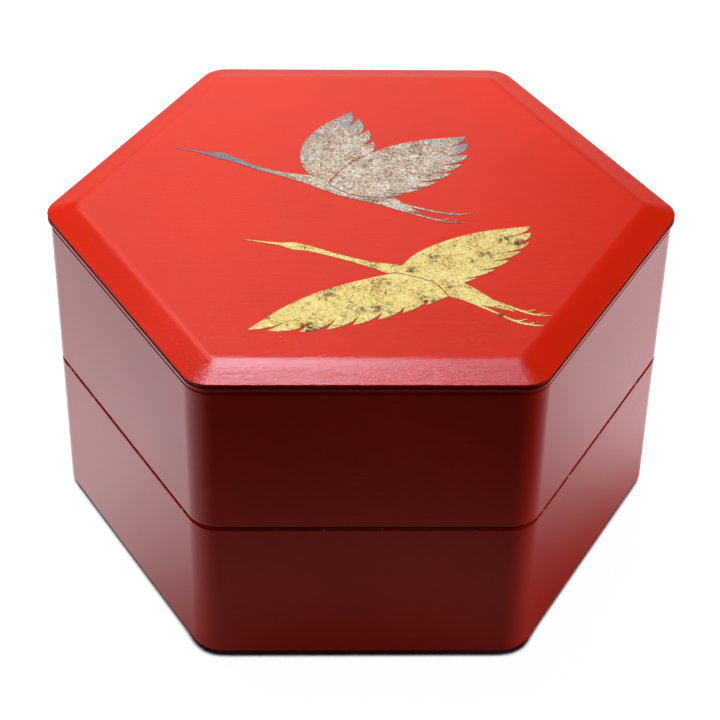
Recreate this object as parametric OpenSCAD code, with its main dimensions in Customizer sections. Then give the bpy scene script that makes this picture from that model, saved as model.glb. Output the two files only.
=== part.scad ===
// Two-tier hexagonal stacking box of lacquered wood, with a bevelled lid that lifts off.
// Each tier is six mitred boards round a grooved bottom board, with rails below that
// drop into the mouth of the tier underneath. Corners point along X, the front faces -Y.

/* [Tiers] */
// Distance across the flats of a tier, outside
tier_flats = 189.2; // [170:0.2:230]
// Height of a tier's wall boards
wall_h = 57.6; // [45:0.2:80]
// Thickness of the wall boards
wall_t = 5; // [4.5:0.5:6]
// Radius of the tiers' rounded outer corners
tier_corner_r = 11.5; // [10:0.5:18]
// Radius inside the cavity's corners
cavity_corner_r = 6; // [4:0.5:8]
// Bevel along the top outer edge of the walls
mouth_bevel = 1.6; // [0.5:0.1:2]

/* [Bottoms and rails] */
// Thickness of the bottom boards
bottom_t = 4; // [3:0.5:5]
// Depth of the groove that holds a bottom board
groove_d = 2; // [1.5:0.1:2.5]
// Height of wall left under the groove
groove_lip = 2; // [1.5:0.1:3]
// How far the rails stand out below the walls
rail_drop = 2.2; // [1.5:0.1:4]
// Width of the rails
rail_w = 7; // [5:0.5:10]
// Radius inside the rails' corners
rail_inner_r = 1; // [0.5:0.5:3]
// Gap between the rails and the mouth that they drop into
fit_gap = 0.4; // [0.3:0.1:0.8]

/* [Corner keys] */
// Thickness of a corner key
key_t = 1.6; // [1:0.2:2.4]
// Wood left between a corner key and the cavity
key_cover = 1.4; // [1:0.2:2]

/* [Lid] */
// How far the lid stands out past the walls on each side
lid_overhang = 0.65; // [0.5:0.05:2]
// Radius of the lid's rounded corners
lid_corner_r = 9.5; // [8:0.5:16]
// Height of the lid's upright edge
lid_edge_h = 3.1; // [1.5:0.1:4]
// Width of the sloping bevel round the lid
lid_bevel_w = 9.8; // [6:0.2:10]
// Height of the sloping bevel round the lid
lid_bevel_h = 3; // [2:0.1:5]
// Radius of the corners of the lid's flat top
plateau_corner_r = 1; // [0.5:0.5:3]
// Height of the rails under the lid
lid_rail_h = 3.5; // [2:0.5:6]
// Thickness of the metal leaf
leaf_t = 0.12; // [0.1:0.02:0.3]

/* [Hidden] */
SIDE_NAMES = ["back_right", "back", "back_left", "front_left", "front", "front_right"];

SIDES = 6;
TURN = 360 / SIDES;
ARC_STEPS = 9;
CURVE_STEPS = 5;
GLUE_GAP = 0.1;
OVERCUT = 1;
KEY_HEIGHTS = [0.3, 0.7];

LACQUER_RED = [0.62, 0.09, 0.05];
LACQUER_SIDE = [0.45, 0.05, 0.03];
LACQUER_BLACK = [0.05, 0.04, 0.04];
KEY_WOOD = [0.72, 0.53, 0.34];
SILVER_LEAF = [0.62, 0.56, 0.50];
GOLD_LEAF = [0.93, 0.74, 0.27];

tier_apothem = tier_flats / 2;
cavity_apothem = tier_apothem - wall_t;
lid_apothem = tier_apothem + lid_overhang;
lower_wall_z = rail_drop;
upper_wall_z = lower_wall_z + wall_h;
lid_z = upper_wall_z + wall_h;
plateau_z = lid_z + lid_edge_h + lid_bevel_h;
rail_h = rail_drop + groove_lip;
reach = tier_flats;

// Point at a distance and an angle from the middle
function polar(distance, angle) = distance * [cos(angle), sin(angle)];

// Hexagon with rounded corners, from its half width across the flats
function round_hexagon(apothem, corner_r) = [
    for (k = [0:SIDES - 1], i = [0:ARC_STEPS])
        let (middle = polar((apothem - corner_r) / cos(TURN / 2), TURN * k))
        middle + polar(corner_r, TURN * (k - 0.5 + i / ARC_STEPS))
];

module hexagon_slab(apothem, corner_r, height) {
    linear_extrude(height) polygon(round_hexagon(apothem, corner_r));
}

// The space between two corners of the hexagon, kept a little off both mitres
module side_wedge(side, height, gap = 0) {
    shift = polar(gap / 2 / sin(TURN / 2), TURN * (side + 0.5));
    linear_extrude(height)
        polygon([shift, shift + polar(reach, TURN * side), shift + polar(reach, TURN * (side + 1))]);
}

// A tier's whole outside, with the bevel round its top
module tier_outside() {
    hull() {
        hexagon_slab(tier_apothem, tier_corner_r, wall_h - mouth_bevel);
        hexagon_slab(tier_apothem - mouth_bevel, tier_corner_r - mouth_bevel, wall_h);
    }
}

module bottom_outline_slab() {
    translate([0, 0, groove_lip])
        hexagon_slab(cavity_apothem + groove_d, cavity_corner_r + groove_d, bottom_t);
}

// Plates across one corner, which cut the key slots and shape the keys
module key_plates(corner) {
    inner_corner = cavity_apothem / cos(TURN / 2) - cavity_corner_r * (1 / cos(TURN / 2) - 1);
    rotate(TURN * corner)
        for (part = KEY_HEIGHTS)
            translate([inner_corner + key_cover, -tier_corner_r, part * wall_h - key_t / 2])
                cube([tier_corner_r, 2 * tier_corner_r, key_t]);
}

// One mitred wall board, standing at z = 0
module wall_board(side) {
    difference() {
        intersection() {
            tier_outside();
            side_wedge(side, wall_h);
        }
        translate([0, 0, -OVERCUT])
            hexagon_slab(cavity_apothem, cavity_corner_r, wall_h + 2 * OVERCUT);
        bottom_outline_slab();
        key_plates(side);
        key_plates(side + 1);
    }
}

module corner_keys() {
    for (corner = [0:SIDES - 1])
        intersection() {
            hexagon_slab(tier_apothem, tier_corner_r, wall_h);
            key_plates(corner);
        }
}

// Six mitred rails that fill the mouth underneath, apart from the fit gap
module rail_ring(height) {
    rail_apothem = cavity_apothem - fit_gap;
    rail_corner_r = cavity_corner_r - fit_gap;
    for (side = [0:SIDES - 1])
        difference() {
            intersection() {
                hexagon_slab(rail_apothem, rail_corner_r, height);
                side_wedge(side, height, GLUE_GAP);
            }
            translate([0, 0, -OVERCUT])
                hexagon_slab(rail_apothem - rail_w, rail_inner_r, height + 2 * OVERCUT);
        }
}

module lower_wall(side) {
    color(LACQUER_SIDE) translate([0, 0, lower_wall_z]) wall_board(side);
}

module lower_corner_keys() {
    color(KEY_WOOD) translate([0, 0, lower_wall_z]) corner_keys();
}

module lower_bottom_board() {
    color(LACQUER_BLACK) translate([0, 0, lower_wall_z]) bottom_outline_slab();
}

module lower_foot_rails() {
    color(LACQUER_BLACK) rail_ring(rail_h);
}

module upper_wall(side) {
    color(LACQUER_SIDE) translate([0, 0, upper_wall_z]) wall_board(side);
}

module upper_corner_keys() {
    color(KEY_WOOD) translate([0, 0, upper_wall_z]) corner_keys();
}

module upper_bottom_board() {
    color(LACQUER_BLACK) translate([0, 0, upper_wall_z]) bottom_outline_slab();
}

module upper_locating_rails() {
    color(LACQUER_BLACK) translate([0, 0, upper_wall_z - rail_drop]) rail_ring(rail_h);
}

// The lid: an upright edge, then a slope up to the flat top
module lid_board() {
    color(LACQUER_RED) translate([0, 0, lid_z])
        hull() {
            hexagon_slab(lid_apothem, lid_corner_r, lid_edge_h);
            hexagon_slab(lid_apothem - lid_bevel_w, plateau_corner_r, lid_edge_h + lid_bevel_h);
        }
}

module lid_locating_rails() {
    color(LACQUER_BLACK) translate([0, 0, lid_z - lid_rail_h]) rail_ring(lid_rail_h);
}

// A smooth curve through points, where t counts the points passed
function held(points, i) = points[max(0, min(len(points) - 1, i))];
function along(points, t) =
    let (
        i = min(floor(t), len(points) - 2),
        s = t - i,
        before = held(points, i - 1),
        from = points[i],
        to = points[i + 1],
        after = held(points, i + 2)
    )
    from + s / 2 * (to - before)
        + s * s / 2 * (2 * before - 5 * from + 4 * to - after)
        + s * s * s / 2 * (3 * from - before - 3 * to + after);

// Side of a brush stroke, from points that each hold x, y and the stroke's width
function stroke_side(points, t, hand) =
    let (
        here = along(points, t),
        ahead = along(points, min(t + 0.05, len(points) - 1)),
        behind = along(points, max(t - 0.05, 0)),
        run = [ahead.x - behind.x, ahead.y - behind.y],
        square_to = [-run.y, run.x] / norm(run)
    )
    [here.x, here.y] + hand * max(here.z, 0.1) / 2 * square_to;

module stroke(points) {
    last = (len(points) - 1) * CURVE_STEPS;
    polygon(concat(
        [for (i = [0:last]) stroke_side(points, i / CURVE_STEPS, 1)],
        [for (i = [last:-1:0]) stroke_side(points, i / CURVE_STEPS, -1)]
    ));
}

// A wing between its leading edge and the line of its feather tips, both from the root
// out. Each feather runs to a point that leans to the wing tip, over the cut behind it.
FEATHER_STEPS = 4;
FEATHER_LEAN = 0.16;
QUILL_REACH = 0.62;
ROOT_BULGE = 0.06;
NEAR_FEATHERS = 8;
FAR_FEATHERS = 7;
ROOT_CUT = 0.1;
TIP_CUT = 0.3;
function root_line(lead, tips) =
    let (middle = (lead[0] + tips[0]) / 2)
    [tips[0], middle + ROOT_BULGE * (middle - lead[len(lead) - 1]), lead[0]];

function feather_edge(lead, tips, feathers, root_cut, tip_cut, feather, phase) =
    let (
        u = max(0, min(1, (feather + phase + FEATHER_LEAN * (2 * phase - 1)) / feathers)),
        cut = feather == 0 ? 0 : (root_cut + (tip_cut - root_cut) * u) * pow(1 - phase, 3)
    )
    along(tips, u * (len(tips) - 1)) * (1 - cut)
        + along(lead, u * QUILL_REACH * (len(lead) - 1)) * cut;

module wing(lead, tips, feathers, root_cut, tip_cut) {
    polygon(concat(
        [for (i = [1:2 * CURVE_STEPS - 1]) along(root_line(lead, tips), i / CURVE_STEPS)],
        [for (i = [0:(len(lead) - 1) * CURVE_STEPS]) along(lead, i / CURVE_STEPS)],
        [for (feather = [feathers - 1:-1:0], i = [FEATHER_STEPS:-1:0])
            if (feather < feathers - 1 || i < FEATHER_STEPS)
                feather_edge(lead, tips, feathers, root_cut, tip_cut, feather, i / FEATHER_STEPS)]
    ));
}

// Bare line that sets a near wing off from what lies behind it
LINE_W = 0.8;
module bare_line(points) {
    stroke([for (p = points) [p.x, p.y, LINE_W]]);
}

// The silver crane climbs with both wings raised
SILVER_BODY = [
    [-66, 35.5, 0.2], [-57, 32.6, 0.9], [-53.5, 31.6, 1.6], [-50, 30.6, 3.7], [-45.5, 28.2, 2.7],
    [-37, 22.8, 1.9], [-27, 18.4, 2.6], [-18, 15.2, 5.6], [-8, 11, 9.4], [2, 6, 8.8], [11, 0.6, 5],
    [20, -5.4, 0.3]
];
SILVER_LEGS = [
    [[7, 3, 1.8], [18, -1.6, 0.9], [27, -5, 0.8], [33, -6, 0.7], [38, -5.2, 0.2]],
    [[6, 1, 1.8], [16, -4.8, 0.9], [24.5, -9, 0.8], [30, -10.8, 0.7], [35, -10.8, 0.2]]
];
SILVER_TOES = [[27, -5], [30.5, -5.8], [24.5, -9], [27.5, -10.2]];
SILVER_FAR_LEAD = [[-16, 14.5], [-21, 25], [-20.5, 38], [-14, 50], [-3, 60]];
SILVER_FAR_TIPS = [[3, 11], [5.5, 22], [5.5, 35], [3, 48], [-3, 60]];
SILVER_NEAR_LEAD = [[-11.5, 13], [-5, 24], [6, 34], [20, 40.5], [38, 43.5]];
SILVER_NEAR_TIPS = [[8, 4], [20, 9], [31, 18.5], [38, 30.5], [38, 43.5]];

// The gold crane banks, with one wing back and the other swept low
GOLD_BODY = [
    [-41, -21, 0.2], [-31.5, -23, 1], [-27.5, -23.8, 1.8], [-23.5, -24.8, 3.9], [-18, -26.4, 2.9],
    [-9, -30.4, 2.1], [1, -34.8, 2.8], [10, -38.4, 6], [20, -43.4, 10], [30, -49.2, 9], [39, -55.4, 5],
    [48, -61, 0.3]
];
GOLD_LEGS = [
    [[32, -50, 2], [42, -55.6, 1], [50, -60.6, 0.9], [55, -62.8, 0.8], [60, -63.2, 0.2]],
    [[30, -52.5, 2], [39.5, -59.8, 1], [47, -65.6, 0.9], [52, -68, 0.8], [57, -68.6, 0.2]]
];
GOLD_TOES = [[50, -60.6], [53, -62.2], [47, -65.6], [50, -67.2]];
GOLD_FAR_LEAD = [[11, -38.5], [17.5, -29], [28, -21.5], [41, -16], [57, -13]];
GOLD_FAR_TIPS = [[30, -47], [41, -40], [50, -31], [56, -22], [57, -13]];
GOLD_NEAR_LEAD = [[10, -40], [-1, -44], [-14, -50], [-26, -58.5], [-38, -71]];
GOLD_NEAR_TIPS = [[27, -53], [13, -61.5], [-3, -68], [-20, -72], [-38, -71]];

TOE = [[0, 0, 0.7], [2.4, -0.4, 0.5], [5, 0.6, 0.2]];

module crane_leaf(body, legs, toes, far_lead, far_tips, near_lead, near_tips) {
    translate([0, 0, plateau_z]) linear_extrude(leaf_t) {
        wing(near_lead, near_tips, NEAR_FEATHERS, ROOT_CUT, TIP_CUT);
        difference() {
            union() {
                stroke(body);
                for (leg = legs) stroke(leg);
                for (toe = toes) translate(toe) stroke(TOE);
                wing(far_lead, far_tips, FAR_FEATHERS, ROOT_CUT, TIP_CUT);
            }
            wing(near_lead, near_tips, NEAR_FEATHERS, 0, 0);
            bare_line(near_lead);
            bare_line(near_tips);
            bare_line(root_line(near_lead, near_tips));
        }
    }
}

module silver_crane_leaf() {
    color(SILVER_LEAF)
        crane_leaf(SILVER_BODY, SILVER_LEGS, SILVER_TOES, SILVER_FAR_LEAD, SILVER_FAR_TIPS,
                   SILVER_NEAR_LEAD, SILVER_NEAR_TIPS);
}

module gold_crane_leaf() {
    color(GOLD_LEAF)
        crane_leaf(GOLD_BODY, GOLD_LEGS, GOLD_TOES, GOLD_FAR_LEAD, GOLD_FAR_TIPS,
                   GOLD_NEAR_LEAD, GOLD_NEAR_TIPS);
}

lower_wall(0);  // lower_wall_back_right
lower_wall(1);  // lower_wall_back
lower_wall(2);  // lower_wall_back_left
lower_wall(3);  // lower_wall_front_left
lower_wall(4);  // lower_wall_front
lower_wall(5);  // lower_wall_front_right
lower_corner_keys();
lower_bottom_board();
lower_foot_rails();
upper_wall(0);  // upper_wall_back_right
upper_wall(1);  // upper_wall_back
upper_wall(2);  // upper_wall_back_left
upper_wall(3);  // upper_wall_front_left
upper_wall(4);  // upper_wall_front
upper_wall(5);  // upper_wall_front_right
upper_corner_keys();
upper_bottom_board();
upper_locating_rails();
lid_board();
lid_locating_rails();
silver_crane_leaf();
gold_crane_leaf();
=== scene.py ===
"""Dresses a two-tier hexagonal lacquer box: lacquered shells, metal leaf, light and camera."""
import logging
import math
from dataclasses import dataclass
from enum import Enum

import bpy
import numpy as np
from mathutils import Matrix, Vector


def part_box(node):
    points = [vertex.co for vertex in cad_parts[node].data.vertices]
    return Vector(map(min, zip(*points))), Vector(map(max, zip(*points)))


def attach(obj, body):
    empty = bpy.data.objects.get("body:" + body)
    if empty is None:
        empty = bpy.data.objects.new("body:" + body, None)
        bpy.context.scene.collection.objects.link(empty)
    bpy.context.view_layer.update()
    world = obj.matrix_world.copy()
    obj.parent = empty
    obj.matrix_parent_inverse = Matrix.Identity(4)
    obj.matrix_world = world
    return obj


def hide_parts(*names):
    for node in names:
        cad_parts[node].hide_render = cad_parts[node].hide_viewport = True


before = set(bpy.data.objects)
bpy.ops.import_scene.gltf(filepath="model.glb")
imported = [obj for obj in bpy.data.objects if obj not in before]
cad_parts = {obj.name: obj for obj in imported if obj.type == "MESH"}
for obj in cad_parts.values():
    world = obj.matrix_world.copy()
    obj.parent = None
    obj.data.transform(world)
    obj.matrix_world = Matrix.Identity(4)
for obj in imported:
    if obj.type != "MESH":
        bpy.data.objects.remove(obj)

LOG = logging.getLogger("lacquer_box")
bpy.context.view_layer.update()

MM = 0.001
SIDES = 6
TURN = math.tau / SIDES
COS_HALF = math.cos(TURN / 2)
CORNER_STEPS = 18
FILLET_STEPS = 6

Triple = tuple[float, float, float]
Material = bpy.types.Material
Piece = bpy.types.Object
Socket = bpy.types.NodeSocket

WHITE = (1.0, 1.0, 1.0)


class Zone(Enum):
    """The lacquer that a stretch of a shell is finished in, as its material index."""

    OUTER = 0
    INNER = 1


class Polish(Enum):
    """The way the polishing strokes run on a lacquered face, as a stretch of the pattern."""

    ALONG_X = (0.6, 12.0, 12.0)
    LEVEL = (0.8, 0.8, 12.0)


@dataclass(frozen=True)
class Corner:
    """One corner of a shell's profile.

    Attributes:
        apothem: Half the width across the flats there, in metres.
        z: Height of the corner.
        fillet: Radius that rounds the profile's corner.
        core: Half width of the hexagon on which the outline's corner arcs are centred.
        zone: Lacquer from here to the next corner.
    """

    apothem: float
    z: float
    fillet: float = 0.0
    core: float = 0.0
    zone: Zone = Zone.OUTER


@dataclass(frozen=True)
class Profile:
    """Stations down a shell's profile, as whole arrays of equal length.

    Attributes:
        apothem: Half width across the flats at each station.
        z: Height of each station.
        core: Half width on which the outline's corner arcs are centred.
        out: Outward share of the surface normal.
        up: Upward share of the surface normal.
        zone: Material index of the band that follows each station.
        ring: Whether the last station joins the first.
    """

    apothem: np.ndarray
    z: np.ndarray
    core: np.ndarray
    out: np.ndarray
    up: np.ndarray
    zone: np.ndarray
    ring: bool


def fillet_arc(before: np.ndarray, corner: np.ndarray, after: np.ndarray, radius: float) -> np.ndarray:
    """Rounds one corner of a profile.

    The direction of travel turns evenly from the way in to the way out. A point is the arc's
    start, plus the radius times the sine of the turn along the way in, plus the radius times
    one less the cosine towards the side that the profile turns to.

    Args:
        before: The corner before, as apothem and height.
        corner: The corner that is rounded.
        after: The corner after.
        radius: Radius of the fillet.

    Returns:
        Rows of apothem, height, outward normal and upward normal.
    """
    way_in = (corner - before) / np.linalg.norm(corner - before)
    way_out = (after - corner) / np.linalg.norm(after - corner)
    square = np.array([-way_in[1], way_in[0]])
    turn = math.atan2(way_out @ square, way_out @ way_in)
    side = math.copysign(1.0, turn)
    angle = np.linspace(0.0, abs(turn), FILLET_STEPS + 1)[:, None]
    start = corner - way_in * radius * math.tan(abs(turn) / 2)
    place = start + radius * (np.sin(angle) * way_in + (1 - np.cos(angle)) * side * square)
    heading = np.cos(angle) * way_in + side * np.sin(angle) * square
    return np.column_stack([place, -heading[:, 1], heading[:, 0]])


def trace_profile(corners: list[Corner], ring: bool = False) -> Profile:
    """Turns a list of corners into stations with smooth normals.

    Args:
        corners: The profile's corners, with the solid on the right of the way along them.
        ring: Whether the profile is a closed loop, and not one that ends on the axis.

    Returns:
        The profile's stations.
    """
    points = np.array([[c.apothem, c.z] for c in corners])
    rows, cores, zones = [], [], []
    for i, corner in enumerate(corners):
        before, after = points[i - 1], points[(i + 1) % len(points)]
        on_axis = not ring and i in (0, len(corners) - 1)
        if on_axis:
            facing = 1.0 if i == 0 else -1.0
            arc = np.array([[corner.apothem, corner.z, 0.0, facing]])
        elif corner.fillet > 0:
            arc = fillet_arc(before, points[i], after, corner.fillet)
        else:
            heading = (after - points[i]) / np.linalg.norm(after - points[i])
            arc = np.array([[*points[i], -heading[1], heading[0]]])
        rows.append(arc)
        cores.append(np.full(len(arc), corner.core))
        zones.append(np.full(len(arc), corner.zone.value))
    apothem, z, out, up = np.vstack(rows).T
    return Profile(apothem, z, np.concatenate(cores), out, up, np.concatenate(zones), ring)


def sweep_hexagon(name: str, profile: Profile) -> Piece:
    """Carries a profile round a hexagon with rounded corners.

    At each station the outline is six arcs. An arc's centre lies on a corner of the core
    hexagon, at the core's half width over the cosine of 30 degrees, and its radius is the
    station's apothem less the core. The normal is the profile's normal, with its outward
    share along the arc's own direction.

    Args:
        name: Name of the new piece.
        profile: The stations to carry round.

    Returns:
        The new object, at the origin, with its place in its mesh.
    """
    turn = np.repeat(np.arange(SIDES) * TURN, CORNER_STEPS + 1)
    spread = np.tile(np.linspace(-TURN / 2, TURN / 2, CORNER_STEPS + 1), SIDES)
    facing = np.column_stack([np.cos(turn + spread), np.sin(turn + spread)])
    middle = np.column_stack([np.cos(turn), np.sin(turn)])
    radius = (profile.apothem - profile.core)[:, None, None]
    centre = profile.core[:, None, None] / COS_HALF * middle
    around = len(turn)
    stations = len(profile.z)
    height = np.broadcast_to(profile.z[:, None, None], (stations, around, 1))
    place = np.concatenate([centre + radius * facing, height], axis=2)
    lean = np.broadcast_to(profile.up[:, None, None], (stations, around, 1))
    normal = np.concatenate([profile.out[:, None, None] * facing, lean], axis=2)

    row = np.arange(stations if profile.ring else stations - 1)
    column = np.arange(around)
    here = row[:, None] * around + column
    beside = row[:, None] * around + (column + 1) % around
    below = (row[:, None] + 1) % stations * around + column
    below_beside = (row[:, None] + 1) % stations * around + (column + 1) % around
    faces = np.stack([here, below, below_beside, beside], axis=2).reshape(-1, 4)
    zones = np.repeat(profile.zone[row], around)
    vertices = place.reshape(-1, 3)
    normals = normal.reshape(-1, 3)
    if profile.ring:
        return mesh_object(name, vertices, faces.tolist(), zones, normals)
    closed_faces, vertices, normals = close_poles(faces, vertices, normals, around)
    return mesh_object(name, vertices, closed_faces, zones, normals)


def close_poles(faces: np.ndarray, vertices: np.ndarray, normals: np.ndarray,
                around: int) -> tuple[list[list[int]], np.ndarray, np.ndarray]:
    """Draws the first and the last loop of a shell together into one vertex each.

    Args:
        faces: Quads as rows of four vertex numbers.
        vertices: Places of the vertices, loop after loop.
        normals: Normals of the vertices.
        around: Number of vertices in a loop.

    Returns:
        The faces in their order, with triangles at the poles, the vertices and the normals.
    """
    last = len(vertices) - 1
    number = np.arange(len(vertices))
    number[:around] = 0
    number[-around:] = last - around + 1
    number = np.where(number > 0, number - around + 1, number)
    keep = np.r_[0, np.arange(around, last - around + 2)]
    joined = number[faces]
    band = len(joined) - around
    first_fan = joined[:around, [0, 1, 2]].tolist()
    last_fan = joined[band:, [0, 1, 3]].tolist()
    return first_fan + joined[around:band].tolist() + last_fan, vertices[keep], normals[keep]


def mesh_object(name: str, vertices: np.ndarray, faces: list[list[int]],
                zones: np.ndarray, normals: np.ndarray) -> Piece:
    """Puts arrays into a new smooth-shaded mesh object.

    Args:
        name: Name of the object and its mesh.
        vertices: Places of the vertices.
        faces: Vertex numbers of each face.
        zones: Material index of each face.
        normals: Normal of each vertex.

    Returns:
        The object, linked to the scene.
    """
    mesh = bpy.data.meshes.new(name)
    mesh.from_pydata(vertices.tolist(), [], faces)
    mesh.polygons.foreach_set("material_index", zones.astype(np.int32))
    mesh.update()
    mesh.shade_smooth()
    mesh.normals_split_custom_set_from_vertices(normals.tolist())
    piece = bpy.data.objects.new(name, mesh)
    bpy.context.scene.collection.objects.link(piece)
    return piece


@dataclass(frozen=True)
class Grain:
    """One size of noise.

    Attributes:
        scale: Grains a metre.
        detail: Number of finer layers on top.
        rough: Weight of the finer layers.
        warp: How far the noise warps itself.
    """

    scale: float
    detail: float = 2.0
    rough: float = 0.5
    warp: float = 0.0


@dataclass(frozen=True)
class Ramp:
    """A smooth step from one number to another.

    Attributes:
        low: Value at which it starts.
        high: Value at which it ends.
        start: What it gives up to low.
        end: What it gives from high on.
    """

    low: float
    high: float
    start: float = 0.0
    end: float = 1.0


def shade(colour: Triple, share: float) -> Triple:
    """A colour times a share, with no channel above 1."""
    return tuple(min(1.0, channel * share) for channel in colour)


class Graph:
    """A node tree of a material or a world, with short calls that add and join its nodes."""

    MIX_INPUTS = (0, 6, 7)
    MIX_OUTPUT = 2

    def __init__(self, owner: Material | bpy.types.World) -> None:
        """Empties the owner's node tree and works in it.

        Args:
            owner: The material or the world.
        """
        self.owner = owner
        self.owner.use_nodes = True
        self.tree = self.owner.node_tree
        self.tree.nodes.clear()

    @classmethod
    def of_material(cls, name: str) -> "Graph":
        """Starts the graph of a new material called name."""
        return cls(bpy.data.materials.new(name))

    def add(self, kind: str, settings: dict | None = None, **inputs: object) -> bpy.types.Node:
        """Adds a node.

        Args:
            kind: The node's type name, after the word ShaderNode.
            settings: Values of the node's own properties.
            **inputs: Values or sockets for its inputs, with spaces written as underscores.

        Returns:
            The new node.
        """
        node = self.tree.nodes.new("ShaderNode" + kind)
        for key, value in (settings or {}).items():
            setattr(node, key, value)
        for key, value in inputs.items():
            self.feed(node.inputs[key.replace("_", " ")], value)
        return node

    def feed(self, socket: Socket, value: object) -> None:
        """Sets a socket, or links another socket to it.

        Args:
            socket: The input.
            value: A number, a colour, a place or a socket.
        """
        if isinstance(value, bpy.types.NodeSocket):
            self.tree.links.new(value, socket)
        elif socket.type == "RGBA":
            socket.default_value = (*value, 1.0)
        else:
            socket.default_value = value

    def join(self, kind: str, *inputs: object, output: int | str = 0, **settings: object) -> Socket:
        """Adds a node whose inputs are told apart by their order alone.

        Args:
            kind: The node's type name, after the word ShaderNode.
            *inputs: Values or sockets for its first inputs.
            output: Place or name of the output that is taken.
            **settings: Values of the node's own properties.

        Returns:
            The output.
        """
        node = self.add(kind, settings)
        for socket, value in zip(node.inputs, inputs):
            self.feed(socket, value)
        return node.outputs[output]

    def place(self, stretch: Triple = (1, 1, 1)) -> Socket:
        """Object coordinates, stretched along each axis."""
        coordinate = self.add("TexCoord").outputs["Object"]
        return self.add("Mapping", Vector=coordinate, Scale=stretch).outputs["Vector"]

    def axis(self, where: Socket, name: str) -> Socket:
        """One coordinate of a place."""
        return self.add("SeparateXYZ", Vector=where).outputs[name]

    def distance(self, where: Socket, point: Triple) -> Socket:
        """Distance of a place from a point, in metres."""
        return self.join("VectorMath", where, point, output="Value", operation="DISTANCE")

    def noise(self, where: Socket, grain: Grain) -> Socket:
        """Noise from 0 to 1, of one grain."""
        return self.add("TexNoise", Vector=where, Scale=grain.scale, Detail=grain.detail,
                        Roughness=grain.rough, Distortion=grain.warp).outputs["Fac"]

    def cells(self, where: Socket, scale: float) -> Socket:
        """Distance from the nearest point of a scattering, at a number of points a metre."""
        return self.add("TexVoronoi", Vector=where, Scale=scale).outputs["Distance"]

    def hollow(self, reach: float, samples: int) -> Socket:
        """Share of the sky within reach that is open, which falls in joints and corners."""
        return self.add("AmbientOcclusion", {"samples": samples}, Distance=reach).outputs["AO"]

    def span(self, value: Socket, ramp: Ramp) -> Socket:
        """A ramp of a value."""
        return self.add("MapRange", {"interpolation_type": "SMOOTHSTEP"}, Value=value, From_Min=ramp.low,
                        From_Max=ramp.high, To_Min=ramp.start, To_Max=ramp.end).outputs["Result"]

    def math(self, operation: str, first: object, second: object = 0.0, clamp: bool = False) -> Socket:
        """One operation on one or two numbers."""
        return self.join("Math", first, second, operation=operation, use_clamp=clamp)

    def weigh(self, values: tuple[Socket, ...], weights: tuple[float, ...]) -> Socket:
        """Adds up numbers, each times its weight.

        Args:
            values: The numbers.
            weights: Their weights.

        Returns:
            The sum.
        """
        total = None
        for value, weight in zip(values, weights):
            part = self.math("MULTIPLY", value, weight)
            total = part if total is None else self.math("ADD", total, part)
        return total

    def blend(self, share: object, first: object, second: object, kind: str = "MIX") -> Socket:
        """Mixes two colours by a share, in a node with other inputs for other kinds of data.

        Args:
            share: Share of the second colour.
            first: The first colour.
            second: The second colour.
            kind: The way the two are mixed.

        Returns:
            The mixed colour.
        """
        node = self.add("Mix", {"data_type": "RGBA", "blend_type": kind})
        for slot, value in zip(self.MIX_INPUTS, (share, first, second)):
            self.feed(node.inputs[slot], value)
        return node.outputs[self.MIX_OUTPUT]

    def bump(self, height: Socket, depth: float) -> Socket:
        """A normal from a height map, with its depth in metres."""
        return self.add("Bump", Height=height, Distance=depth).outputs["Normal"]

    def glow(self, strength: object, colour: Triple = WHITE) -> Socket:
        """A shader that gives out light."""
        return self.add("Emission", Color=colour, Strength=strength).outputs[0]

    def choose(self, share: Socket, first: Socket, second: Socket) -> Socket:
        """Mixes two shaders by a share of the second."""
        return self.join("MixShader", share, first, second)

    def finish(self, shader: Socket) -> Material:
        """Joins the shader to the output and gives the finished material."""
        self.add("OutputMaterial", Surface=shader)
        return self.owner


@dataclass(frozen=True)
class Chips:
    """Small pale chips along a worn rim.

    Attributes:
        z: Height of the rim's worn edge, in metres.
        colour: Colour of the ground that shows in a chip.
    """

    z: float
    colour: Triple = (0.80, 0.42, 0.34)

    BAND = Ramp(0.15 * MM, 0.35 * MM, 1.0, 0.0)
    CELLS = 330.0
    CELL_STRETCH = (1, 1, 0.3)
    CELL_CORE = Ramp(0.16, 0.30, 1.0, 0.0)
    CLUSTERS = Grain(110.0)
    CLUSTER_EDGE = Ramp(0.42, 0.54)

    def share(self, graph: Graph) -> Socket:
        """Finds the chips: close to the rim, to a cell's point, and within a cluster.

        Args:
            graph: The graph of the lacquer.

        Returns:
            1 in a chip, falling to 0 round it.
        """
        off = graph.math("ABSOLUTE", graph.math("SUBTRACT", graph.axis(graph.place(), "Z"), self.z))
        spots = graph.span(graph.cells(graph.place(self.CELL_STRETCH), self.CELLS), self.CELL_CORE)
        picked = graph.span(graph.noise(graph.place(), self.CLUSTERS), self.CLUSTER_EDGE)
        near_rim = graph.span(off, self.BAND)
        return graph.math("MULTIPLY", near_rim, graph.math("MULTIPLY", spots, picked))


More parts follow.
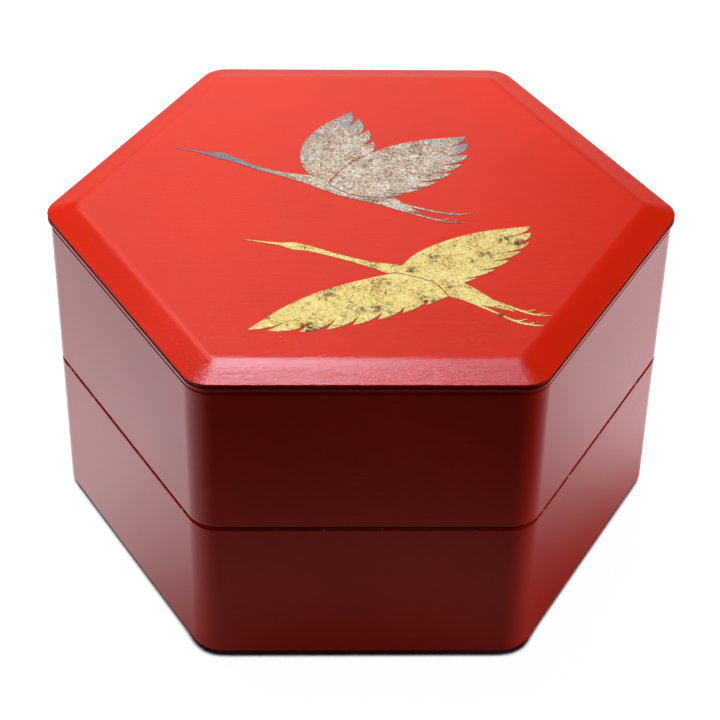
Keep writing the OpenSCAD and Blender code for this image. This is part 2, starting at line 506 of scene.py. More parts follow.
@dataclass(frozen=True)
class Lacquer:
    """Satin lacquer, polished in one direction.

    Attributes:
        name: Name of the material.
        colour: Colour of the pigment, linear.
        polish: Way the polishing strokes run.
        roughness: Roughness of the polished face.
        chips: Wear along a rim, if there is any.
        hand_z: Height below which the face is polished by hand, with deeper strokes, or 0 for none.
    """

    name: str
    colour: Triple
    polish: Polish
    roughness: float = 0.14
    chips: Chips | None = None
    hand_z: float = 0.0

    IOR = 1.52
    DRIFT = Grain(14.0, 3.0)
    STROKES = Grain(90.0, 4.0, 0.62)
    FINE_STROKES = Grain(420.0)
    GRIT = Grain(2600.0, 2.0, 0.6)
    PEEL = Grain(900.0)
    DRIFT_RAMP = Ramp(0.3, 0.7)
    DRIFT_SHADES = (0.94, 1.06)
    STROKE_RAMP = Ramp(0.35, 0.7, 0.0, 0.12)
    STROKE_SHADE = 0.8
    # Painted shade: within this reach, where little of the sky is open, in crevices and between parts,
    # the pigment turns near black and the roughness rises.
    CREVICE_SHADE_REACH = 1.0 * MM
    CREVICE_SHADE_SAMPLES = 8
    CREVICE_SHADE_RAMP = Ramp(0.75, 0.83, 1.0, 0.0)
    PAINTED_CREVICE_SHADE = 0.04
    CREVICE_ROUGH = 0.5
    STROKE_ROUGH = Ramp(0.2, 0.8, -0.03, 0.03)
    DRIFT_ROUGH = 0.02
    RELIEF_WEIGHTS = (0.3, 0.2, 0.08, 0.22)
    RELIEF_DEPTH = 0.18 * MM
    HAND_REACH = 1.5 * MM
    HAND_DEPTH = 1.7

    def build(self) -> Material:
        """Builds one shader with the pigment, the gloss and the relief.

        Returns:
            The material.
        """
        graph = Graph.of_material(self.name)
        plain = graph.place()
        along = graph.place(self.polish.value)
        drift = graph.noise(plain, self.DRIFT)
        strokes = graph.noise(along, self.STROKES)
        # Painted shade mask: 1 in crevices and gaps between parts, where shade would fall.
        crevice_shade = graph.span(graph.hollow(self.CREVICE_SHADE_REACH, self.CREVICE_SHADE_SAMPLES), self.CREVICE_SHADE_RAMP)
        relief = self.relief(graph, plain, along, strokes)
        shader = graph.add("BsdfPrincipled", Base_Color=self.pigment(graph, drift, strokes, crevice_shade),
                           Roughness=self.gloss(graph, drift, strokes, crevice_shade), IOR=self.IOR,
                           Normal=graph.bump(relief, self.RELIEF_DEPTH))
        return graph.finish(shader.outputs["BSDF"])

    def pigment(self, graph: Graph, drift: Socket, strokes: Socket, crevice_shade: Socket) -> Socket:
        """The pigment drifts slowly, is darker in the strokes, turns near black as painted shade in
        crevices, and is chipped.

        Args:
            graph: The material's graph.
            drift: The slow drift.
            strokes: The polishing strokes.
            crevice_shade: 1 in a crevice, where shade is painted, 0 in the open.

        Returns:
            The colour.
        """
        darkest, lightest = (shade(self.colour, share) for share in self.DRIFT_SHADES)
        colour = graph.blend(graph.span(drift, self.DRIFT_RAMP), darkest, lightest)
        in_stroke = graph.span(strokes, self.STROKE_RAMP)
        colour = graph.blend(in_stroke, colour, shade(self.colour, self.STROKE_SHADE))
        # Painted shade: the pigment turns near black in crevices.
        colour = graph.blend(crevice_shade, colour, shade(self.colour, self.PAINTED_CREVICE_SHADE))
        if self.chips:
            colour = graph.blend(self.chips.share(graph), colour, self.chips.colour)
        return colour

    def gloss(self, graph: Graph, drift: Socket, strokes: Socket, crevice_shade: Socket) -> Socket:
        """The roughness wanders a little with the strokes and the drift, and rises in crevices, where
        shade is painted.

        Args:
            graph: The material's graph.
            drift: The slow drift.
            strokes: The polishing strokes.
            crevice_shade: 1 in a crevice, where shade is painted, 0 in the open.

        Returns:
            The roughness.
        """
        wander = Ramp(0.2, 0.8, self.roughness - self.DRIFT_ROUGH, self.roughness + self.DRIFT_ROUGH)
        rough = graph.math("ADD", graph.span(strokes, self.STROKE_ROUGH), graph.span(drift, wander))
        in_crevice = graph.math("MULTIPLY", crevice_shade, self.CREVICE_ROUGH)
        return graph.math("ADD", rough, in_crevice, clamp=True)

    def relief(self, graph: Graph, plain: Socket, along: Socket, strokes: Socket) -> Socket:
        """Broad and fine strokes, grit and an orange peel, deeper where polished by hand.

        Args:
            graph: The material's graph.
            plain: Object coordinates.
            along: Object coordinates, stretched along the strokes.
            strokes: The polishing strokes.

        Returns:
            The height.
        """
        fine = graph.noise(along, self.FINE_STROKES)
        grit = graph.noise(plain, self.GRIT)
        peel = graph.noise(plain, self.PEEL)
        height = graph.weigh((strokes, fine, grit, peel), self.RELIEF_WEIGHTS)
        edge = Ramp(self.hand_z - self.HAND_REACH, self.hand_z, self.HAND_DEPTH, 1.0)
        return graph.math("MULTIPLY", height, graph.span(graph.axis(plain, "Z"), edge))


@dataclass(frozen=True)
class Leaf:
    """Crinkled metal leaf with tarnish.

    Attributes:
        name: Name of the material.
        tones: Four colours of the crinkled leaf, from its low to its high folds.
        tints: Two tints that drift over the leaf.
        tip: Colour that the leaf turns to away from heart.
        heart: Middle of the figure, in metres.
        reach: Distances from heart where the tip colour starts and is full.
        tarnish: Colour of the tarnish spots.
        spots: How much of the leaf is spotted, from 0 to 1.
        metal: Metallic share of the shader.
    """

    name: str
    tones: tuple[Triple, Triple, Triple, Triple]
    tints: tuple[Triple, Triple]
    tip: Triple
    heart: Triple
    reach: Ramp
    tarnish: Triple
    spots: float
    metal: float

    BROAD = Grain(130.0, 4.0, 0.65)
    FOLDS = Grain(900.0, 4.0, 0.75, 0.8)
    GRIT = Grain(2400.0, 3.0, 0.7)
    TONE_WEIGHTS = (0.2, 0.45, 0.35)
    TONE_STEPS = (Ramp(0.42, 0.46), Ramp(0.46, 0.50), Ramp(0.50, 0.57))
    TINT = Grain(520.0, 3.0, 0.7, 0.5)
    TINT_STRETCH = (1.0, 1.3, 1.0)
    TINT_RAMP = Ramp(0.40, 0.60)
    TIP_RAMP = Ramp(0.42, 0.56)
    TIP_SHADE = 0.7
    TIP_WANDER = Ramp(0.3, 0.7, -12 * MM, 12 * MM)
    CLUSTERS = Grain(120.0)
    CLUSTER_EDGE = (0.64, 0.68)
    CLUSTER_SPREAD = 0.10
    SPECKS = Grain(620.0, 3.0, 0.7)
    SPECK_RAMP = Ramp(0.46, 0.54)
    DOTS = 330.0
    DOT_CORE = (0.10, 0.20)
    DOT_FIELDS = Grain(170.0)
    DOT_FIELD_EDGE = Ramp(0.55, 0.65)
    ROUGHNESS = Ramp(0.3, 0.7, 0.34, 0.5)
    RELIEF_WEIGHTS = (0.7, 0.3)
    RELIEF_DEPTH = 0.25 * MM

    def build(self) -> Material:
        """Folds of three sizes pick the tone, tips turn to another colour, and stains lie on top.

        Returns:
            The material.
        """
        graph = Graph.of_material(self.name)
        where = graph.place()
        broad, folds, grit = (graph.noise(where, grain) for grain in (self.BROAD, self.FOLDS, self.GRIT))
        mixed = graph.weigh((broad, folds, grit), self.TONE_WEIGHTS)
        tip = graph.blend(graph.span(mixed, self.TIP_RAMP), shade(self.tip, self.TIP_SHADE), self.tip)
        wander = graph.span(broad, self.TIP_WANDER)
        far = graph.math("ADD", graph.distance(graph.place(), self.heart), wander)
        tone = graph.blend(graph.span(far, self.reach), self.tone(graph, mixed), tip)
        stained = graph.math("MULTIPLY", self.stain(graph, where), self.spots)
        shader = graph.add("BsdfPrincipled", Base_Color=graph.blend(stained, tone, self.tarnish),
                           Metallic=self.metal, Roughness=graph.span(folds, self.ROUGHNESS),
                           Normal=graph.bump(graph.weigh((folds, grit), self.RELIEF_WEIGHTS),
                                             self.RELIEF_DEPTH))
        return graph.finish(shader.outputs["BSDF"])

    def tone(self, graph: Graph, mixed: Socket) -> Socket:
        """Steps through the four tones, then tints them.

        Args:
            graph: The material's graph.
            mixed: The folds of three sizes, added up.

        Returns:
            The colour of clean leaf.
        """
        tone: object = self.tones[0]
        for step, next_tone in zip(self.TONE_STEPS, self.tones[1:]):
            tone = graph.blend(graph.span(mixed, step), tone, next_tone)
        drift = graph.span(graph.noise(graph.place(self.TINT_STRETCH), self.TINT), self.TINT_RAMP)
        return graph.blend(1.0, tone, graph.blend(drift, *self.tints), "MULTIPLY")

    def stain(self, graph: Graph, where: Socket) -> Socket:
        """Fine specks within clusters, and round dots within fields.

        Args:
            graph: The material's graph.
            where: Object coordinates.

        Returns:
            1 in a stain, 0 on clean leaf.
        """
        low, high = self.CLUSTER_EDGE
        edge = Ramp(low - self.CLUSTER_SPREAD * self.spots, high)
        cluster = graph.span(graph.noise(where, self.CLUSTERS), edge)
        speck = graph.span(graph.noise(where, self.SPECKS), self.SPECK_RAMP)
        dot = graph.span(graph.cells(where, self.DOTS), Ramp(*self.DOT_CORE, self.spots, 0.0))
        field = graph.span(graph.noise(where, self.DOT_FIELDS), self.DOT_FIELD_EDGE)
        dot = graph.math("MULTIPLY", dot, field)
        return graph.math("MAXIMUM", graph.math("MULTIPLY", cluster, speck), dot)


class Finishes:
    """The finishes of the box, each built once."""

    VERMILION = (0.74, 0.020, 0.004)
    INK = (0.012, 0.011, 0.011)
    INNER_ROUGHNESS = 0.2
    WORN_BELOW_RIM = 1.4 * MM
    HAND_BELOW_PLATEAU = 0.2 * MM
    SILVER = Leaf(
        "silver_leaf",
        tones=((0.08, 0.045, 0.03), (0.42, 0.27, 0.17), (0.66, 0.50, 0.38), (1.0, 0.95, 0.84)),
        tints=((1.0, 0.84, 0.70), (0.90, 0.98, 0.98)),
        tip=(0.27, 0.27, 0.31), heart=(0.006, 0.020, 0.123), reach=Ramp(0.026, 0.050),
        tarnish=(0.12, 0.12, 0.15), spots=0.4, metal=0.25)
    GOLD = Leaf(
        "gold_leaf",
        tones=((0.26, 0.10, 0.025), (0.80, 0.56, 0.15), (0.95, 0.74, 0.22), (1.0, 0.92, 0.38)),
        tints=((1.0, 0.95, 0.90), WHITE),
        tip=(0.82, 0.60, 0.20), heart=(0.012, -0.045, 0.123), reach=Ramp(0.050, 0.070),
        tarnish=(0.11, 0.022, 0.008), spots=0.95, metal=0.3)

    def __init__(self, seam_z: float, plateau_z: float) -> None:
        """Builds the finishes.

        Args:
            seam_z: Height of the seam between the tiers, below which the rim is worn.
            plateau_z: Height of the lid's flat top, below which its bevel is polished by hand.
        """
        hand_z = plateau_z - self.HAND_BELOW_PLATEAU
        chips = Chips(seam_z - self.WORN_BELOW_RIM)
        self.lid_red = Lacquer("lid_vermilion", self.VERMILION, Polish.ALONG_X, hand_z=hand_z).build()
        self.wall_red = Lacquer("wall_vermilion", self.VERMILION, Polish.LEVEL, chips=chips).build()
        self.black = Lacquer("inner_black", self.INK, Polish.LEVEL, self.INNER_ROUGHNESS).build()
        self.silver = self.SILVER.build()
        self.gold = self.GOLD.build()


@dataclass(frozen=True)
class Hexagon:
    """A hexagonal outline with rounded corners, in metres.

    Attributes:
        apothem: Half the width across the flats.
        corner_r: Radius of the rounded corners.
    """

    apothem: float
    corner_r: float

    @property
    def core(self) -> float:
        """Half width of the hexagon on which the corner arcs are centred."""
        return self.apothem - self.corner_r

    def inset(self, width: float, corner_r: float) -> "Hexagon":
        """A smaller outline, set in by a width on every side."""
        return Hexagon(self.apothem - width, corner_r)


def coat(piece: Piece, *finishes: Material) -> None:
    """Gives a new piece its finishes, in the order of its zones."""
    for finish in finishes:
        piece.data.materials.append(finish)


@dataclass(frozen=True)
class RailRing:
    """Six mitred rails in a ring, under a tier or the lid.

    Attributes:
        name: Name of the new piece.
        node: Name of the node with the rails.
        body: Body that it rides on.
        corner_r: Radius of the outer corners.
        inner_r: Radius of the inner corners.
        width: Width of the rails.
        foot_fillet: Radius that rounds the lower edges.
        glue_fillet: Radius that rounds the edges of the glued face.
    """

    name: str
    node: str
    body: str
    corner_r: float = 5.6 * MM
    inner_r: float = 1 * MM
    width: float = 7 * MM
    foot_fillet: float = 0.5 * MM
    glue_fillet: float = 0.1 * MM

    def build(self, finish: Material) -> Piece:
        """Carries the rails' section round the hexagon.

        Args:
            finish: The lacquer of the rails.

        Returns:
            The ring.
        """
        low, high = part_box(self.node)
        outer = Hexagon(high.y, self.corner_r)
        inner = outer.inset(self.width, self.inner_r)
        corners = [
            Corner(inner.apothem, low.z, self.foot_fillet, inner.core),
            Corner(inner.apothem, high.z, self.glue_fillet, inner.core),
            Corner(outer.apothem, high.z, self.glue_fillet, outer.core),
            Corner(outer.apothem, low.z, self.foot_fillet, outer.core),
        ]
        ring = sweep_hexagon(self.name, trace_profile(corners, ring=True))
        coat(ring, finish)
        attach(ring, self.body)
        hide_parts(self.node)
        return ring


@dataclass(frozen=True)
class Tier:
    """One tier of the box: a tray of mitred boards under one skin of lacquer.

    Attributes:
        name: Name of the tier, which starts the names of its nodes.
        body: Body that it rides on.
        rails: Name of the node with the rails below it.
        wall_t: Thickness of the walls.
        mouth_bevel: Width of the bevel round the top.
        corner_r: Radius of the outer corners.
        cavity_r: Radius of the cavity's corners.
        floor_fillet: Radius where the walls meet the cavity's floor.
        lip_fillet: Radius of the mouth's inner edge.
        crest_fillet: Radius of the bevel's upper edge.
        shoulder_fillet: Radius of the bevel's lower edge.
        foot_fillet: Radius of the walls' outer lower edge.
        under_fillet: Radius of the edges under the bottom board.
    """

    name: str
    body: str
    rails: str
    wall_t: float = 5 * MM
    mouth_bevel: float = 1.6 * MM
    corner_r: float = 11.65 * MM
    cavity_r: float = 6 * MM
    floor_fillet: float = 2.5 * MM
    lip_fillet: float = 0.6 * MM
    crest_fillet: float = 0.3 * MM
    shoulder_fillet: float = 0.5 * MM
    foot_fillet: float = 0.4 * MM
    under_fillet: float = 0.3 * MM

    WALLS = ("front", "front_right", "back_right", "back", "back_left", "front_left")

    def build(self, finishes: Finishes) -> list[Piece]:
        """Makes the tier's shell and its rail ring.

        Args:
            finishes: The finishes to dress them in.

        Returns:
            The new pieces.
        """
        shell = self.shell()
        coat(shell, finishes.wall_red, finishes.black)
        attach(shell, self.body)
        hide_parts(*self.replaced())
        ring = RailRing(f"{self.name}_rail_ring", self.rails, self.body)
        return [shell, ring.build(finishes.black)]

    def replaced(self) -> list[str]:
        """Names of the nodes that the lacquered shell covers."""
        walls = [f"{self.name}_wall_{side}" for side in self.WALLS]
        return [*walls, f"{self.name}_corner_keys", f"{self.name}_bottom_board"]

    def shell(self) -> Piece:
        """Carries the tray's section round the hexagon.

        The section runs from the middle of the cavity's floor, up the inside, over the
        bevelled rim, down the outside and back under the board to the middle.

        Returns:
            The shell.
        """
        wall_low, wall_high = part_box(f"{self.name}_wall_front")
        board_low, board_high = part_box(f"{self.name}_bottom_board")
        bottom, top = wall_low.z, wall_high.z
        under, floor = board_low.z, board_high.z
        outer = Hexagon(-wall_low.y, self.corner_r)
        cavity = outer.inset(self.wall_t, self.cavity_r)
        middle = Hexagon(cavity.apothem / 2, self.cavity_r)
        crest = outer.apothem - self.mouth_bevel
        corners = [
            Corner(0, floor, zone=Zone.INNER),
            Corner(middle.apothem, floor, core=middle.core, zone=Zone.INNER),
            Corner(cavity.apothem, floor, self.floor_fillet, cavity.core, Zone.INNER),
            Corner(cavity.apothem, top, self.lip_fillet, cavity.core),
            Corner(crest, top, self.crest_fillet, outer.core),
            Corner(outer.apothem, top - self.mouth_bevel, self.shoulder_fillet, outer.core),
            Corner(outer.apothem, bottom, self.foot_fillet, outer.core),
            Corner(cavity.apothem, bottom, self.under_fillet, cavity.core, Zone.INNER),
            Corner(cavity.apothem, under, self.under_fillet, cavity.core, Zone.INNER),
            Corner(middle.apothem, under, core=middle.core, zone=Zone.INNER),
            Corner(0, under, zone=Zone.INNER),
        ]
        return sweep_hexagon(f"{self.name}_tier_lacquer", trace_profile(corners))


@dataclass(frozen=True)
class Lid:
    """The bevelled lid, its rails and the leaf on it.

    Attributes:
        corner_r: Radius of the lid's corners.
        plateau_r: Radius of the flat top's corners.
        bevel_w: Width of the sloping bevel.
        bevel_h: Height of the sloping bevel.
        crease_r: Radius of the soft crease round the flat top.
        nose: Height of the bevel's upright nose.
        nose_fillet: Radius of the nose's upper edge, and of the edge below the line.
        line_h: Height of the fine line cut below the nose.
        line_d: Depth of that line.
        line_fillet: Radius of the line's own edges.
        edge_fillet: Radius of the lower edge.
        seat_w: Width of the lacquered rim underneath.
    """

    corner_r: float = 9.65 * MM
    plateau_r: float = 4 * MM
    bevel_w: float = 9.8 * MM
    bevel_h: float = 3 * MM
    crease_r: float = 12 * MM
    nose: float = 0.3 * MM
    nose_fillet: float = 0.3 * MM
    line_h: float = 1.2 * MM
    line_d: float = 0.4 * MM
    line_fillet: float = 0.1 * MM
    edge_fillet: float = 0.6 * MM
    seat_w: float = 6 * MM

    def build(self, finishes: Finishes) -> list[Piece]:
        """Makes the lid's shell and rail ring, and gilds the leaf.

        Args:
            finishes: The finishes to dress them in.

        Returns:
            The pieces.
        """
        shell = self.shell()
        coat(shell, finishes.lid_red, finishes.black)
        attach(shell, "lid")
        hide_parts("lid_board")
        ring = RailRing("lid_rail_ring", "lid_locating_rails", "lid").build(finishes.black)
        leaves = [gild("silver_crane_leaf", finishes.silver), gild("gold_crane_leaf", finishes.gold)]
        return [shell, ring, *leaves]

    def shell(self) -> Piece:
        """Carries the lid's section round the hexagon.

        The section runs from the middle of the flat top, over a soft crease and down the
        bevel, past a fine line under the bevel's nose, round the upright edge and back
        underneath to the middle.

        Returns:
            The shell.
        """
        low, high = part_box("lid_board")
        rim = Hexagon(-low.y, self.corner_r)
        plateau = rim.inset(self.bevel_w, self.plateau_r)
        middle = Hexagon(plateau.apothem / 2, self.plateau_r)
        seat = rim.inset(self.seat_w, self.plateau_r)
        shoulder_z = high.z - self.bevel_h
        nose_z = shoulder_z - self.nose
        band_z = nose_z - self.line_h
        line = rim.apothem - self.line_d
        corners = [
            Corner(0, high.z),
            Corner(middle.apothem, high.z, core=middle.core),
            Corner(plateau.apothem, high.z, self.crease_r, plateau.core),
            Corner(rim.apothem, shoulder_z, self.nose_fillet, rim.core),
            Corner(rim.apothem, nose_z, self.line_fillet, rim.core),
            Corner(line, nose_z, self.line_fillet, rim.core),
            Corner(line, band_z, self.line_fillet, rim.core),
            Corner(rim.apothem, band_z, self.nose_fillet, rim.core),
            Corner(rim.apothem, low.z, self.edge_fillet, rim.core),
            Corner(seat.apothem, low.z, core=seat.core, zone=Zone.INNER),
            Corner(middle.apothem, low.z, core=middle.core, zone=Zone.INNER),
            Corner(0, low.z, zone=Zone.INNER),
        ]
        return sweep_hexagon("lid_lacquer", trace_profile(corners))


def gild(node: str, leaf: Material) -> Piece:
    """Gives a node of cut leaf its metal.

    Args:
        node: Name of the node.
        leaf: The leaf's material.

    Returns:
        The node's object.
    """
    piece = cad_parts[node]
    piece.data.materials.clear()
    piece.data.materials.append(leaf)
    return piece


@dataclass(frozen=True)
class Viewpoint:
    """The camera's stand. Its distance and its aim are in units of the lid's radius.

    Attributes:
        yaw: Turn from straight ahead, to the right.
        pitch: Tilt below level.
        roll: Turn about the line of sight.
        distance: Distance to the point that it is aimed at.
        target_x: Place of that point across.
        target_y: Place of that point along the line from front to back.
        focal_px: Focal length, in pixels of the image.
        image_px: Width of the image.
        sensor_mm: Width of the sensor, in millimetres.
        clip: Nearest and furthest distance that it sees, in metres.
    """

    yaw: float = math.radians(1.7736)
    pitch: float = math.radians(38.3365)
    roll: float = math.radians(1.1692)
    distance: float = 6.2724
    target_x: float = -0.0204
    target_y: float = -0.7506
    focal_px: float = 2183.1
    image_px: float = 720.0
    sensor_mm: float = 36.0
    clip: tuple[float, float] = (0.05, 20.0)

    def take(self, edge_z: float, lid_r: float) -> None:
        """Makes the camera and aims it at a point level with the lid's upper edge.

        Args:
            edge_z: Height of the lid's upper edge, in metres.
            lid_r: Distance from the lid's middle to its corners, were they sharp.
        """
        ahead = Vector((math.sin(self.yaw) * math.cos(self.pitch),
                        math.cos(self.yaw) * math.cos(self.pitch), -math.sin(self.pitch)))
        level = Vector((math.cos(self.yaw), -math.sin(self.yaw), 0))
        above = level.cross(ahead)
        right = math.cos(self.roll) * level + math.sin(self.roll) * above
        up = -math.sin(self.roll) * level + math.cos(self.roll) * above
        target = Vector((self.target_x * lid_r, self.target_y * lid_r, edge_z))
        data = bpy.data.cameras.new("camera")
        data.sensor_width = self.sensor_mm
        data.lens = self.focal_px / self.image_px * self.sensor_mm
        data.clip_start, data.clip_end = self.clip
        camera = bpy.data.objects.new("camera", data)
        bpy.context.scene.collection.objects.link(camera)
        turn = Matrix((right, up, -ahead)).transposed().to_4x4()
        camera.matrix_world = Matrix.Translation(target - ahead * self.distance * lid_r) @ turn
        bpy.context.scene.camera = camera


@dataclass(frozen=True)
class Lamp:
    """One rectangular area lamp.

    Attributes:
        name: Name of the lamp.
        place: Where it hangs, in metres.
        target: Where it points.
        size: Width and depth of its face.
        watts: Power.
        colour: Colour of its light.
        mirrored: Whether glossy surfaces mirror its face.
    """

    name: str
    place: Triple
    target: Triple
    size: tuple[float, float]
    watts: float
    colour: Triple = WHITE
    mirrored: bool = False

    def hang(self) -> None:
        """Adds the lamp to the scene, turned to its target."""
        data = bpy.data.lights.new(self.name, "AREA")
        data.shape = "RECTANGLE"
        data.size, data.size_y = self.size
        data.energy = self.watts
        data.color = self.colour
        lamp = bpy.data.objects.new(self.name, data)
        bpy.context.scene.collection.objects.link(lamp)
        lamp.location = self.place
        lamp.rotation_mode = "QUATERNION"
        lamp.rotation_quaternion = (Vector(self.target) - Vector(self.place)).to_track_quat("-Z", "Y")
        lamp.visible_glossy = self.mirrored


@dataclass(frozen=True)
class Patch:
    """A pale patch of the surround, as seen in reflections.

    Attributes:
        way: Direction of its middle.
        edge: Degrees from the middle at which it starts.
        core: Degrees from the middle within which it is full.
        strength: Brightness of its middle, where 1 is white.
    """

    way: Triple
    edge: float
    core: float
    strength: float

    def glow(self, graph: Graph, way: Socket) -> Socket:
        """Brightness in a direction, which rises smoothly with its closeness to the middle.

        Args:
            graph: The world's graph.
            way: The direction.

        Returns:
            The brightness.
        """
        middle = Vector(self.way).normalized()
        closeness = graph.join("VectorMath", way, middle, output="Value", operation="DOT_PRODUCT")
        edge, core = (math.cos(math.radians(angle)) for angle in (self.edge, self.core))
        return graph.span(closeness, Ramp(edge, core, 0.0, self.strength))


@dataclass(frozen=True)
class Surround:
    """The world: white to the camera, and dim in reflections but for a few pale patches.

    Attributes:
        dim: Brightness between the patches.
        tint: Colour of its light.
        patches: The pale patches.
    """

    dim: float = 0.01
    tint: Triple = (1.0, 1.0, 0.9)
    patches: tuple[Patch, ...] = (
        Patch((-0.05, 0.85, 0.52), 14.5, 2.0, 0.80),
        Patch((0.0, 1.0, 0.06), 27.0, 12.0, 0.5),
        Patch((-0.22, 0.67, 0.71), 7.0, 2.5, 2.7),
    )

    def build(self) -> None:
        """Adds up the patches, and shows plain white to the camera."""
        world = bpy.data.worlds.new("surround")
        bpy.context.scene.world = world
        graph = Graph(world)
        way = graph.add("TexCoord").outputs["Generated"]
        strength: object = self.dim
        for patch in self.patches:
            strength = graph.math("ADD", patch.glow(graph, way), strength)
        seen = graph.add("Background", Color=WHITE).outputs[0]
        light = graph.add("Background", Color=self.tint, Strength=strength).outputs[0]
        by_camera = graph.add("LightPath").outputs["Is Camera Ray"]
        graph.add("OutputWorld", Surface=graph.choose(by_camera, light, seen))


@dataclass(frozen=True)
class Floor:
    """A pale floor, white to the camera with a soft shadow, and darker in front in reflections.

    Distances are in metres from the box's middle.

    Attributes:
        half: Half the floor's width.
        grey: Colour in which it scatters the lamps' light.
        white: Brightness that the camera sees in the open.
        tint: Colour of its reflection.
        front_turn: Angle to the right at which the dark front is darkest.
        sides: Brightness of the reflection by the angle from there.
        sides_fade: Share of the sides that is left, by distance.
        foot: Point that the dark ring round the foot is centred on.
        foot_ring: Share of the sides that is left, by distance from foot.
        apron: Faint brightness before the foot, by distance.
        apron_fade: Share of the apron that is left, by distance.
        backdrop: Brightness behind the box, by distance behind.
        bounce: Brightness that lights the walls from below, by distance.
        shadow_reach: Width of the soft shadow.
        shadow_samples: Samples of the soft shadow.
        shadow: Whiteness by the open share of the sky.
        behind: What is added to the open share behind the front edge, by the Y coordinate.
    """

    half: float = 3.0
    grey: Triple = (0.14, 0.14, 0.14)
    white: float = 0.985
    tint: Triple = (1.0, 0.98, 1.03)
    front_turn: float = math.radians(12)
    sides: Ramp = Ramp(math.radians(30), math.radians(102), 0.02, 1.12)
    sides_fade: Ramp = Ramp(0.3, 0.65, 1.0, 0.0)
    foot: Triple = (0.020, 0.0, 0.0)
    foot_ring: Ramp = Ramp(0.06, 0.118)
    apron: Ramp = Ramp(0.095, 0.135, 0.02, 0.115)
    apron_fade: Ramp = Ramp(0.14, 0.20, 1.0, 0.0)
    backdrop: Ramp = Ramp(0.5, 1.2, 0.0, 0.5)
    bounce: Ramp = Ramp(0.14, 0.27, 0.17, 0.0)
    shadow_reach: float = 4.5 * MM
    shadow_samples: int = 16
    shadow: Ramp = Ramp(0.64, 0.77)
    behind: Ramp = Ramp(-0.096, -0.080, 0.0, 0.12)

    def build(self) -> Piece:
        """Lays the floor, with one shader for the camera, one for gloss and one for the rest.

        Returns:
            The floor.
        """
        h = self.half
        square = np.array([[-h, -h, 0], [h, -h, 0], [h, h, 0], [-h, h, 0]])
        upright = np.tile([0.0, 0.0, 1.0], (len(square), 1))
        floor = mesh_object("floor", square, [[0, 1, 2, 3]], np.zeros(1), upright)
        graph = Graph.of_material("pale_floor")
        where = graph.place()
        far = graph.distance(where, (0.0, 0.0, 0.0))
        diffuse = graph.add("BsdfDiffuse", Color=self.grey).outputs[0]
        bounced = graph.join("AddShader", graph.glow(graph.span(far, self.bounce)), diffuse)
        mirrored = graph.glow(self.mirrored(graph, where, far), self.tint)
        lit = graph.glow(graph.math("MULTIPLY", self.open_share(graph, where), self.white))
        seen = graph.join("AddShader", lit, diffuse)
        path = graph.add("LightPath").outputs
        unseen = graph.choose(path["Is Glossy Ray"], bounced, mirrored)
        surface = graph.choose(path["Is Camera Ray"], unseen, seen)
        floor.data.materials.append(graph.finish(surface))
        return floor

    def mirrored(self, graph: Graph, where: Socket, far: Socket) -> Socket:
        """Brightness in reflections: the sides, the apron before the foot, and the backdrop.

        The sides brighten smoothly with the angle from the dark front, and fade with the
        distance and round the foot.

        Args:
            graph: The floor's graph.
            where: Object coordinates.
            far: Distance from the box's middle.

        Returns:
            The brightness.
        """
        x, y = graph.axis(where, "X"), graph.axis(where, "Y")
        angle = graph.math("ARCTAN2", x, graph.math("MULTIPLY", y, -1.0))
        angle = graph.math("ABSOLUTE", graph.math("SUBTRACT", angle, self.front_turn))
        side = graph.math("MULTIPLY", graph.span(angle, self.sides), graph.span(far, self.sides_fade))
        from_foot = graph.span(graph.distance(where, self.foot), self.foot_ring)
        side = graph.math("MULTIPLY", side, from_foot)
        apron = graph.math("MULTIPLY", graph.span(far, self.apron), graph.span(far, self.apron_fade))
        brightness = graph.math("ADD", side, apron)
        return graph.math("ADD", brightness, graph.span(y, self.backdrop))

    def open_share(self, graph: Graph, where: Socket) -> Socket:
        """Whiteness to the camera, which falls in the soft shadow round the foot.

        Args:
            graph: The floor's graph.
            where: Object coordinates.

        Returns:
            The whiteness, from 0 to 1.
        """
        sky = graph.hollow(self.shadow_reach, self.shadow_samples)
        lift = graph.span(graph.axis(where, "Y"), self.behind)
        return graph.span(graph.math("ADD", sky, lift), self.shadow)


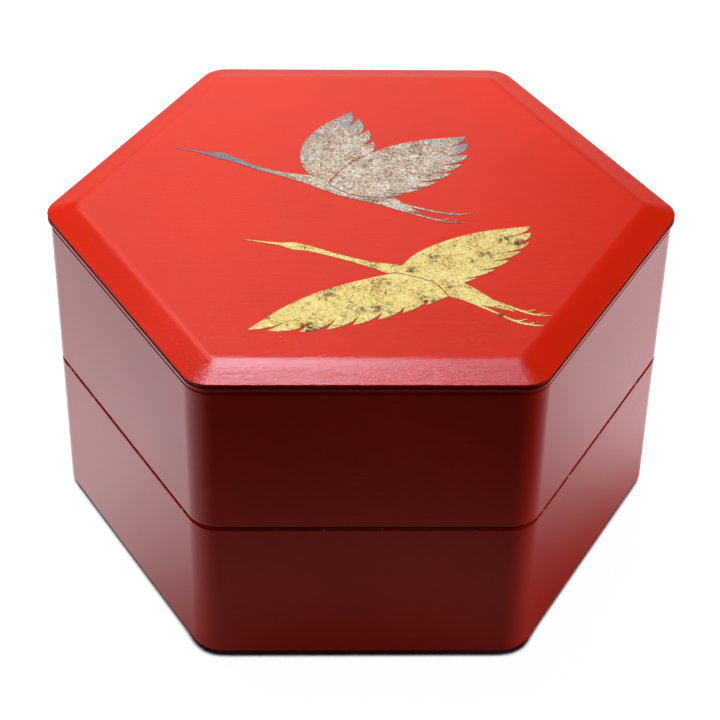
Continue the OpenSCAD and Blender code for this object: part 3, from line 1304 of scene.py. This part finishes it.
@dataclass(frozen=True)
class Studio:
    """The pale floor, the soft light and the camera.

    Attributes:
        edge_z: Height of the lid's upper edge, which the camera is aimed by.
        lid_r: Distance from the lid's middle to its corners, were they sharp.
    """

    edge_z: float
    lid_r: float

    COOL = (0.88, 0.95, 1.15)
    LID_MIDDLE = (0.0, 0.0, 0.12)
    WALL_MIDDLE = (0.0, 0.0, 0.07)
    LOWER_TIER = (0.0, 0.0, 0.05)
    LAMPS = (
        Lamp("softbox", (0.01, 0.23, 0.90), (0.01, 0.23, 0.0), (0.38, 0.46), 1.46, COOL, True),
        Lamp("softbox_left", (-0.08, 0.23, 0.89), (-0.08, 0.23, 0.0), (0.20, 0.46), 2.10, COOL, True),
        Lamp("key", (-0.28, 0.30, 0.75), LID_MIDDLE, (0.30, 0.30), 4.35),
        Lamp("fill_right", (1.20, 0.06, 0.07), WALL_MIDDLE, (0.50, 0.12), 5.3),
        Lamp("fill_left", (-1.20, 0.10, 0.07), WALL_MIDDLE, (0.50, 0.12), 2.8),
        Lamp("fill_front", (0.0, -0.80, 0.40), LOWER_TIER, (0.30, 0.30), 0.12),
    )

    def build(self) -> Piece:
        """Sets up the camera and the light, with two softboxes mirrored in the lid's bevel.

        Returns:
            The floor, the only piece of the studio with a surface.
        """
        Viewpoint().take(self.edge_z, self.lid_r)
        Surround().build()
        for lamp in self.LAMPS:
            lamp.hang()
        return Floor().build()


def main() -> None:
    """Builds the studio and every piece of the box, and reports each one."""
    logging.basicConfig(level=logging.INFO, format="%(message)s")
    bpy.context.scene.view_settings.view_transform = "Standard"
    lid = Lid()
    lid_low, lid_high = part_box("lid_board")
    seam_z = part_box("lower_wall_front")[1].z
    studio = Studio(edge_z=lid_high.z - lid.bevel_h, lid_r=-lid_low.y / COS_HALF)
    pieces = [studio.build()]
    finishes = Finishes(seam_z, lid_high.z)
    tiers = [
        Tier("lower", "lower_tier", "lower_foot_rails"),
        Tier("upper", "upper_tier", "upper_locating_rails"),
    ]
    for part in (lid, *tiers):
        pieces += part.build(finishes)
    for piece in pieces:
        LOG.info("%s: %d faces", piece.name, len(piece.data.polygons))


if __name__ == "__main__":
    main()
